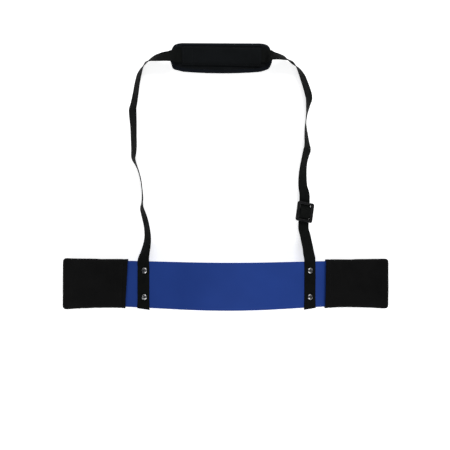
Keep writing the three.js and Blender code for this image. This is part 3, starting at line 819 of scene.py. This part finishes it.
def inflate(thing, pinned, limit):
    """Swells a closed mesh as stuffed cloth. pinned are the points that stay, and none moves as far as the
    limit, in millimetres."""
    scene = bpy.context.scene
    start = coordinates(thing)
    group = thing.vertex_groups.new(name="pinned")
    group.add([int(i) for i in pinned], 1.0, "REPLACE")
    cloth = thing.modifiers.new("cloth", "CLOTH")
    settings = cloth.settings
    settings.vertex_group_mass = "pinned"
    settings.use_pressure = True
    settings.uniform_pressure_force = 4.0
    settings.effector_weights.gravity = 0
    settings.tension_stiffness = 15
    settings.compression_stiffness = 15
    settings.bending_stiffness = 0.5
    last_frame = 20
    for number in range(1, last_frame + 1):
        scene.frame_set(number)
    swollen = thing.evaluated_get(bpy.context.evaluated_depsgraph_get())
    moved = vertex_values(swollen.to_mesh(), "co") - start
    swollen.to_mesh_clear()
    thing.modifiers.remove(cloth)
    thing.vertex_groups.remove(group)
    scene.frame_set(1)
    size = np.linalg.norm(moved, axis=1, keepdims=True)
    set_coordinates(thing, start + moved * (limit * MM) / (limit * MM + size))


def subdivide(thing):
    modifier = thing.modifiers.new("smooth", "SUBSURF")
    modifier.levels = modifier.render_levels = 1
    apply_modifiers(thing)


CURVE_S = np.arange(0, PLATE_END + 12, 0.5)
CURVE_TABLE = np.array([half_curve(s) for s in CURVE_S])


def unbend(points):
    """(s, y, n) on the plate of points in the row frame: the reverse of bend, for |s| on the table."""
    x, y, z = (np.asarray(points, float) / MM - [0, PLATE_Y, 0]).T
    n = np.zeros(len(x))
    s = np.interp(np.abs(x), CURVE_TABLE[:, 0], CURVE_S)
    for _ in range(4):
        slope = np.interp(s, CURVE_S, CURVE_TABLE[:, 2])
        s = np.interp(np.abs(x) + n * np.sin(slope), CURVE_TABLE[:, 0], CURVE_S)
        drop = np.interp(s, CURVE_S, CURVE_TABLE[:, 1])
        n = (z - APEX_Z + drop) / np.cos(slope)
    return np.stack([np.sign(x) * s, y, n], axis=1)


def cut_open(thing, place, normal):
    """Cuts away the side of a mesh that the normal points away from, and leaves the cut open."""
    with editing(thing) as mesh:
        everything = mesh.verts[:] + mesh.edges[:] + mesh.faces[:]
        bmesh.ops.bisect_plane(mesh, geom=everything, plane_co=place, plane_no=normal, clear_inner=True)
        bmesh.ops.remove_doubles(mesh, verts=mesh.verts, dist=0.35 * MM)


def hill(distance, width):
    """A smooth hill, 1 high, at no distance."""
    return np.exp(-(distance / width) ** 2)


def mouth_x(word, y, inside=0.0):
    """The X of a cover's slanted mouth at one Y, or of a line that runs along inside it."""
    reach, slant = PAD_MOUTHS[word]
    return SIDES[word] * (reach + inside) + slant * y


def build_elbow_cover(word):
    side = SIDES[word]
    mouth, end = PAD_MOUTH, PLATE_END + PAD_END[word]
    shy = 0.7  # the shape starts small, and the stuffing swells it
    past_mouth = 16  # it starts too long, and is cut open along its slanted mouth
    low_corner = (mouth - past_mouth, -PAD_SIDE + shy, -PAD_BACK + shy)
    high_corner = (end - shy, PAD_SIDE - shy, PAD_FRONT - shy)
    points, faces = rounded_box(low_corner, high_corner, 6.6, 3.6, open_low=True)
    share = np.clip((points[:, 0] - mouth) / (end - mouth), 0, 1)
    grown = np.where(points[:, 1] > 0, 1.6 + 2.6 * share, 1.2 + 1.0 * np.sin(math.pi * share))
    points[:, 1] += points[:, 1] / PAD_SIDE * grown
    placed = bend([(side * s, y, n) for s, y, n in points])
    cover = closed_piece(f"elbow_pad_cover_{word}", placed, faces, COVER)
    remesh(cover)
    along = np.abs(unbend(coordinates(cover))[:, 0])
    inflate(cover, np.flatnonzero(along < mouth + 1.5), 2.6)
    subdivide(cover)
    slant = PAD_MOUTHS[word][1]
    inwards = Vector((side, -side * slant, 0)).normalized()
    cut_open(cover, Vector(to_row([(mouth_x(word, 0), 0, 0)])[0]), inwards)

    start = coordinates(cover)
    s, y, n = unbend(start).T
    s = np.abs(s)
    from_mouth = side * (start[:, 0] / MM - mouth_x(word, y))
    from_edge = np.minimum(PAD_SIDE - np.abs(y), end - s)
    near_rim = np.clip(1 - from_edge / 3.5, 0, 1)
    near_mouth = np.clip(1 - from_mouth / 40, 0, 1) ** 2
    slow = np.array([noise.noise((a * 0.035, b * 0.03 + side * 4, c * 0.05)) for a, b, c in zip(s, y, n)])
    loose = np.array([noise.noise((a * 0.04, b * 0.06 + side * 9, 1.3)) for a, b in zip(s, y)])
    seam, hem = 0.8 * hill(n - 0.4, 1.1) * near_rim, 0.5 * hill(from_mouth - PAD_HEM, 1.6)
    lift = 0.3 * slow + 0.5 * near_mouth * loose - seam - hem
    moved = start + vertex_values(cover.data, "normal") * lift[:, None] * MM
    set_lowest(moved, 0.2)
    set_coordinates(cover, moved)

    solidify = cover.modifiers.new("cloth", "SOLIDIFY")
    solidify.thickness = PAD_CLOTH * MM
    solidify.offset = -1
    apply_modifiers(cover)
    finish_piece(cover, "plate", "pad_cover", f"elbow_pad_sleeve_{word}")
    return cover


def build_elbow_foam(word, name, low_n, high_n, radius):
    """A foam slab in the sleeve, in front of the plate or behind it, rounded where it meets the cover."""
    start, end = PAD_MOUTH + 6, PLATE_END - 3
    points, faces = rounded_box((start, -FOAM_SIDE, low_n), (end, FOAM_SIDE, high_n), radius, 4.5)
    placed = bend([(SIDES[word] * s, y, n) for s, y, n in points])
    foam = closed_piece(f"elbow_pad_foam_{name}_{word}", placed, faces, FOAM)
    subdivide(foam)
    lowered = coordinates(foam)
    set_lowest(lowered, 1.7)
    set_coordinates(foam, lowered)
    finish_piece(foam, "plate", "foam", f"elbow_pad_{name}_foam_{word}")


def set_lowest(points, level):
    """Keeps points at or above a level in millimetres over the floor."""
    points[:, 2] = np.maximum(points[:, 2], level * MM)


def build_elbow_pads():
    for word in SIDES:
        cover = build_elbow_cover(word)
        build_elbow_foam(word, "front", 1.8, 6.5, 2.2)
        build_elbow_foam(word, "back", -5.0, -1.8, 1.5)
        row = surface_row(cover, [(mouth_x(word, y, PAD_HEM), y) for y in np.arange(-42, 42.1, 3.8)])
        stitch(f"elbow_pad_hem_stitches_{word}", [row], "plate", "pad_cover")


# ---- stitching

def surface_row(thing, places):
    """Where a row of (x, y) places, in millimetres, meets a piece from above: pairs of point and normal."""
    mesh = thing.data
    tree = BVHTree.FromPolygons([v.co for v in mesh.vertices], [p.vertices[:] for p in mesh.polygons])
    row = []
    for x, y in places:
        above = Vector(to_row([(x, y, 200)])[0])
        hit, normal, _, _ = tree.ray_cast(above, Vector((0, 0, -1)))
        if hit is not None:
            row.append((np.array(hit), np.array(normal)))
    return row


def stitch(name, rows, body, slot):
    """A lock-stitch seam: each stitch a short thread that dips into the cloth at both ends."""
    length, radius, sides = 2.5, 0.3, 6
    rings = ((-0.5, 0.35, -0.1), (-0.3, 0.9, 0.12), (0, 1, 0.18), (0.3, 0.9, 0.12), (0.5, 0.35, -0.1))
    points, faces = [], []
    for row in rows:
        for (here, normal), (there, _) in zip(row, row[1:]):
            along = (there - here) / max(np.linalg.norm(there - here), 1e-9)
            across = np.cross(normal, along)
            base = len(points)
            for t, swell, lift in rings:
                centre = here + along * t * length * MM + normal * lift * MM
                for k in range(sides):
                    angle = k * math.pi / 3
                    out = across * math.cos(angle) + normal * math.sin(angle)
                    points.append(centre + out * radius * swell * MM)
            for r in range(len(rings) - 1):
                for k in range(sides):
                    a, b = base + sides * r + k, base + sides * r + (k + 1) % sides
                    faces.append((a, b, b + sides, a + sides))
            last = base + sides * (len(rings) - 1)
            faces.append(tuple(base + k for k in reversed(range(sides))))
            faces.append(tuple(last + k for k in range(sides)))
    finish_piece(closed_piece(name, points, faces, THREAD), body, slot)


# ---- strap

def full_route():
    """The whole strap: up the plate under the left screws, round the neck, and down under the right ones."""
    left = [anchor_station(SCREW_SEATS["left"] + LEFT_ANCHOR_SHIFT, y) for y in reversed(ANCHOR_YS)]
    return left + STRAP_ROUTE + [anchor_station(SCREW_SEATS["right"], y) for y in ANCHOR_YS]


def anchor_station(s, y):
    x, z, _ = on_curve(s, ANCHOR_LEVEL)
    droop = 0.25 * max(-44 - y, 0)
    return (x, y, z - droop, math.degrees(FLANK_ANGLE))


def strap_shape(place, a, o):
    """Lets the webbing stand up a little between the screws, and spreads its cut ends."""
    x, y, _ = place
    wobble = noise.noise((x * 0.03, y * 0.03, a * 0.05))
    off_plate = 46
    if y > off_plate:
        return a + 0.25 * wobble, o + 0.35 * wobble * abs(a) / (WEB_WIDTH / 2)
    screw_at = -LEFT_ANCHOR_SHIFT if x < 0 else 0
    pressed = sum(math.exp(-((a - screw_at) ** 2 + (y - v) ** 2) / 60) for v in SCREW_YS)
    edge = min(max((off_plate - y) / 8, 0), 1)
    puff = edge * 0.42 * max(0.0, 1 - pressed) * (0.6 + 0.9 * noise.noise((y * 0.06, a * 0.1, x)))
    flare = 1 + 0.05 * min(max((-26 - y) / 20, 0), 1) + 0.012 * wobble
    return a * flare, o + max(puff, -0.05)


def build_strap():
    frames = ribbon_frames(full_route(), 2.4)
    strap = webbing_piece("neck_strap", frames, strap_shape)
    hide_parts("strap_anchor_left", "strap_anchor_right", "strap_left_leg", "strap_left_shoulder",
                "strap_neck_run", "strap_right_shoulder", "strap_right_leg")
    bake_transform(strap)


# ---- length adjuster

def adjuster_matrix():
    """The adjuster's frame: X across the webbing, Y along it and Z out of its face, in metres."""
    stations = np.array(STRAP_ROUTE, float)
    here = spline(stations, ADJUSTER_POINT)
    along = (spline(stations, ADJUSTER_POINT + 0.001) - spline(stations, ADJUSTER_POINT - 0.001))[:3]
    along /= np.linalg.norm(along)
    across, out = ribbon_axes(along, here[3])
    turn = Matrix([Vector(-across), Vector(-along), Vector(out)]).transposed().to_4x4()
    turn = turn @ Matrix.Rotation(ADJUSTER_SKEW, 4, "Z")
    turn.translation = Vector(to_row([here[:3] - ADJUSTER_SHIFT * across])[0])
    return turn


def rounded_outline(width, height, radius, centre_y=0.0, steps=8):
    points = []
    for turn, (sx, sy) in enumerate(CORNERS):
        for k in range(steps + 1):
            angle = (turn + k / steps) * math.pi / 2
            points.append((sx * (width / 2 - radius) + radius * math.cos(angle),
                           centre_y + sy * (height / 2 - radius) + radius * math.sin(angle)))
    return points


def add_outline(curve, points):
    outline = curve.splines.new("POLY")
    outline.points.add(len(points) - 1)
    for point, (x, y) in zip(outline.points, points):
        point.co = (x * MM, y * MM, 0, 1)
    outline.use_cyclic_u = True


def build_adjuster_frame():
    bevel = ADJUSTER_BEVEL
    curve = bpy.data.curves.new("adjuster_outline", "CURVE")
    curve.dimensions = "2D"
    curve.fill_mode = "BOTH"
    curve.extrude = (ADJUSTER_THICKNESS / 2 - bevel) * MM
    curve.bevel_depth = bevel * MM
    curve.bevel_resolution = 1
    add_outline(curve, rounded_outline(ADJUSTER_WIDTH - 2 * bevel, ADJUSTER_HEIGHT - 2 * bevel, 3.4))
    slot_height = (ADJUSTER_HEIGHT - 2 * ADJUSTER_END_BAR - ADJUSTER_CENTRE_BAR) / 2
    for sign in (-1, 1):
        centre = sign * (ADJUSTER_CENTRE_BAR + slot_height) / 2
        slot = rounded_outline(ADJUSTER_SLOT_WIDTH + 2 * bevel, slot_height + 2 * bevel, 2.2, centre)
        add_outline(curve, slot[::-1])
    holder = bpy.data.objects.new("adjuster_frame_moulded", curve)
    bpy.context.scene.collection.objects.link(holder)
    graph = bpy.context.evaluated_depsgraph_get()
    mesh = bpy.data.meshes.new_from_object(holder.evaluated_get(graph))
    bpy.data.objects.remove(holder)
    adjuster = bpy.data.objects.new("adjuster_frame_moulded", mesh)
    bpy.context.scene.collection.objects.link(adjuster)
    mesh.materials.clear()
    mesh.materials.append(PLASTIC)
    with editing(adjuster) as parts:
        bmesh.ops.remove_doubles(parts, verts=parts.verts, dist=0.01 * MM)
        bmesh.ops.recalc_face_normals(parts, faces=parts.faces)
    lifted = Matrix.Translation((0, 0, (ADJUSTER_BASE + ADJUSTER_THICKNESS / 2) * MM))
    mesh.transform(adjuster_matrix() @ lifted)
    sharp_by_angle(adjuster, 18)
    finish_piece(adjuster, "adjuster", "adjuster_plastic", "adjuster_frame")


def build_adjuster_webbing():
    """The turn of webbing over the centre bar, which dips to the strap under both end bars."""
    turn_level = WEB_THICKNESS + GAP
    top = ADJUSTER_BASE + ADJUSTER_THICKNESS + WEB_THICKNESS / 2 + 0.4
    half = [(2.2, top), (4.4, top - 0.5), (7, top - 1.7), (9.5, top - 3), (11.8, turn_level + 1.15),
            (13.4, turn_level + 0.45), (15, turn_level), (17, turn_level)]
    path = [(0, -y, z, 0) for y, z in reversed(half)] + [(0, y, z, 0) for y, z in half]
    frames = ribbon_frames(path, 1.1)
    webbing = webbing_piece("adjuster_webbing", frames, lambda place, a, o: (a, o))
    from_row = Matrix.Translation((0, -PLATE_Y * MM, 0))
    webbing.data.transform(adjuster_matrix() @ from_row)
    finish_piece(webbing, "adjuster", "webbing", "adjuster_webbing_turn")


# ---- neck pad

def neck_outline(offset, count=200):
    """The neck pad's outline, grown by an offset, from its own middle: a little turned, bowed along its
    lower side and full at its corners."""
    width, height = NECK_LENGTH + 2 * offset, NECK_WIDTH + 2 * offset
    dense = np.array(rounded_outline(width, height, NECK_CORNER + offset, steps=40))
    closed = np.vstack([dense, dense[:1]])
    run = run_along(closed)
    even = np.linspace(0, run[-1], count, endpoint=False)
    x, y = np.interp(even, run, closed[:, 0]), np.interp(even, run, closed[:, 1])
    lower, upper = np.clip(-y / (height / 2), 0, 1), np.clip(y / (height / 2), 0, 1)
    corners = np.exp(-((np.abs(x) - 90) / 9) ** 2)
    bowed = y + lower * (5.3 * (x / 100) ** 2 - 0.3) + upper * (1.6 * corners - 0.4) + 0.013 * x
    near_end = np.exp(-((np.abs(x) - 92) / 7) ** 2)
    full = np.where(x < 0, 2.6, 1.5) * near_end * np.exp(-((y + 21) / 7) ** 2)
    crown = 1.3 * near_end * np.exp(-((y - 21) / 7) ** 2)
    return np.stack([x - 0.013 * y + np.sign(x) * (full + crown), bowed - full + crown], axis=1)


def neck_ring(offset, z):
    """A ring of points round the neck pad at one height."""
    return [(NECK_X + x, NECK_Y + y, z) for x, y in neck_outline(offset)]


def build_neck_body():
    """The pad itself: foam under its cover, swollen from a plain cushion shape and flat underneath."""
    base = NECK_BASE
    profile = [(-2.2, base), (-1.6, base + 0.6), (-1.5, base + 2.0), (-2.2, 5.6), (-4.0, 8.3), (-7.0, 10.2),
               (-11, 11.2), (-16, 11.5), (-21, 11.6), (-25.5, 11.6)]
    rings = [neck_ring(-25.5, base), neck_ring(-14, base), neck_ring(-6, base)]
    rings += [neck_ring(offset, z) for offset, z in profile]
    points, faces = loft(rings)
    body = closed_piece("neck_pad_cover_soft", to_row(points), faces, NECK_CLOTH)
    remesh(body)
    middle = np.array([NECK_X, PLATE_Y + NECK_Y, 0])
    x, y, z = (coordinates(body) / MM - middle).T
    seams = np.abs(np.abs(y - (TUNNEL_Y - NECK_Y)) - 17.5) < 2.2
    inside = (np.abs(x) < TUNNEL_LENGTH / 2) & seams
    inflate(body, np.flatnonzero((z < 3.2) | inside), 1.8)
    subdivide(body)

    x, y, z = (coordinates(body) / MM - middle).T
    on_top = np.clip((z - 4) / 4, 0, 1)
    tunnel_side = np.abs(y - (TUNNEL_Y - NECK_Y))
    z -= 1.7 * hill(tunnel_side - 18.9, 1.5) * on_top * (np.abs(x) < TUNNEL_LENGTH / 2 + 2)
    for height, along, across, layer in ((0.35, 0.03, 0.09, 2.2), (0.18, 0.11, 0.13, 5.1)):
        creases = np.array([noise.noise((a * along, b * across, layer)) for a, b in zip(x, y)])
        z += height * creases * on_top
    z = np.minimum(z, np.where(tunnel_side < 16.5, 12.3, 13.4))  # lower under the strap
    z = np.maximum(z, base - 0.2)
    set_coordinates(body, (np.stack([x, y, z], axis=1) + middle) * MM)
    finish_piece(body, "neck_pad", "neck_fabric", "neck_pad_cover", "neck_pad_foam")


def build_neck_lining():
    profile = [(-24, 0.05), (-12, 0.05), (-0.6, 0.05), (-0.15, 0.25), (-0.15, 0.95), (-0.6, 1.2), (-12, 1.2),
               (-24, 1.2)]
    points, faces = loft([neck_ring(offset, z) for offset, z in profile])
    lining = closed_piece("neck_pad_lining_cloth", to_row(points), faces, NECK_CLOTH)
    finish_piece(lining, "neck_pad", "neck_fabric", "neck_pad_lining")


def build_neck_binding():
    """Folded tape round the rim: it laps over the top of the pad and under its lining's edge."""
    over = [(-5.6, 8.9), (-3.6, 7.9), (-1.2, 6.0), (0.6, 4.2), (1.6, 2.6), (1.5, 1.2), (0.4, 0.25)]
    inner = [(0.2, 1.3), (0.55, 2.2), (-0.3, 3.6), (-1.9, 5.2), (-4.1, 7.0), (-5.8, 7.9)]
    rings = np.array([neck_ring(offset, z) for offset, z in over + inner])
    ripple = np.array([0.16 * noise.noise((k * 0.5, 0.3, 1.0)) for k in range(rings.shape[1])])
    rings[:, :, 2] += ripple[None, :] * (rings[:, :, 2] > 2)
    points, faces = loft(rings, closed=True)
    binding = closed_piece("neck_pad_binding_tape", to_row(points), faces, TAPE)
    subdivide(binding)
    finish_piece(binding, "neck_pad", "edge_tape", "neck_pad_binding")
    places = [(NECK_X + x, NECK_Y + y) for x, y in neck_outline(-4.4, 124)]
    row = surface_row(binding, places + places[:1])
    stitch("neck_pad_binding_stitches", [row], "neck_pad", "edge_tape")


def build_neck_tunnel():
    """The cloth tunnel over the strap, stitched down along both sides and hemmed at its mouths."""
    over = [(18.1, 12.9), (17.5, 13.35), (16.2, 13.45), (15.4, 14.2), (14.8, 15.5), (13.5, 16.15), (8, 16.35)]
    below = [(17.5, 12.55), (16, 12.6), (14.5, 13.6), (14, 14.9), (13, 15.3), (8, 15.4)]
    outer = [(-y, z) for y, z in over] + [(0, 16.4)] + over[::-1]
    profile = outer + below + [(0, 15.45)] + [(-y, z) for y, z in below[::-1]]
    half = TUNNEL_LENGTH / 2
    mouth = [half, half - 0.4, half - 1.4]
    xs = [-x for x in mouth] + list(np.linspace(-half + 3, half - 3, 101)) + mouth[::-1]
    rings = []
    for x in xs:
        end = min(x + half, half - x)
        hem = 0.45 * min(max((TUNNEL_HEM + 1 - end) / 2, 0), 1) - 0.5 * hill(end - TUNNEL_HEM, 0.9)
        ring = []
        for k, (y, z) in enumerate(profile):
            top = k < len(outer)
            ripple = 0.22 * noise.noise((x * 0.09, y * 0.05, 7.3))
            ripple += 0.1 * noise.noise((x * 0.3, y * 0.1, 2.0))
            lift = (hem + ripple) * (1 if abs(y) < 15 else 0.3) if top else max(ripple, 0) * 0.4
            skew = 1.2 * noise.noise((y * 0.08, 4.0 + (x > 0), 1.0)) * math.exp(-end / 6)
            ring.append((NECK_X + x + skew, TUNNEL_Y + y, z + lift))
        rings.append(ring)
    points, faces = loft(rings)
    tunnel = closed_piece("neck_pad_tunnel_cloth", to_row(points), faces, NECK_CLOTH)
    finish_piece(tunnel, "neck_pad", "neck_fabric", "neck_pad_tunnel")
    seams = [[(x, y) for x in np.arange(-half + 2, half - 1, 3.8)] for y in (-16.9, 16.9)]
    seams += [[(x, y) for y in np.arange(-13, 13.1, 3.25)]
              for x in (-half + 2.5, -half + TUNNEL_HEM, half - TUNNEL_HEM, half - 2.5)]
    rows = [surface_row(tunnel, [(NECK_X + x, TUNNEL_Y + y) for x, y in seam]) for seam in seams]
    stitch("neck_pad_tunnel_stitches", rows, "neck_pad", "neck_fabric")


# ---- the whole

LACQUER = material_lacquer()
STEEL = material_metal("steel", (0.28, 0.28, 0.285), 0.24, 0.16)
ZINC = material_metal("zinc_plate", (0.6, 0.61, 0.62), 0.34, 0.2)
COVER = material_cloth("elbow_cloth", (0.0032, 0.0032, 0.0032), 0.0011, 0.01)
NECK_CLOTH = material_cloth("neck_cloth", (0.0034, 0.0040, 0.0045), 0.0009, 0.012)
TAPE = material_cloth("edge_tape", (0.0034, 0.0044, 0.0065), 0.0006, 0.02)
THREAD = material_cloth("thread", (0.008, 0.008, 0.009), 0.0004, 0.02)
FOAM = material_foam()
WEBBING = material_webbing("webbing", (0.0036, 0.0040, 0.0038))
PLASTIC = material_plastic()

make_camera()
make_stage()
build_plate()
build_fasteners()
build_elbow_pads()
build_strap()
build_adjuster_frame()
build_adjuster_webbing()
build_neck_body()
build_neck_lining()
build_neck_binding()
build_neck_tunnel()
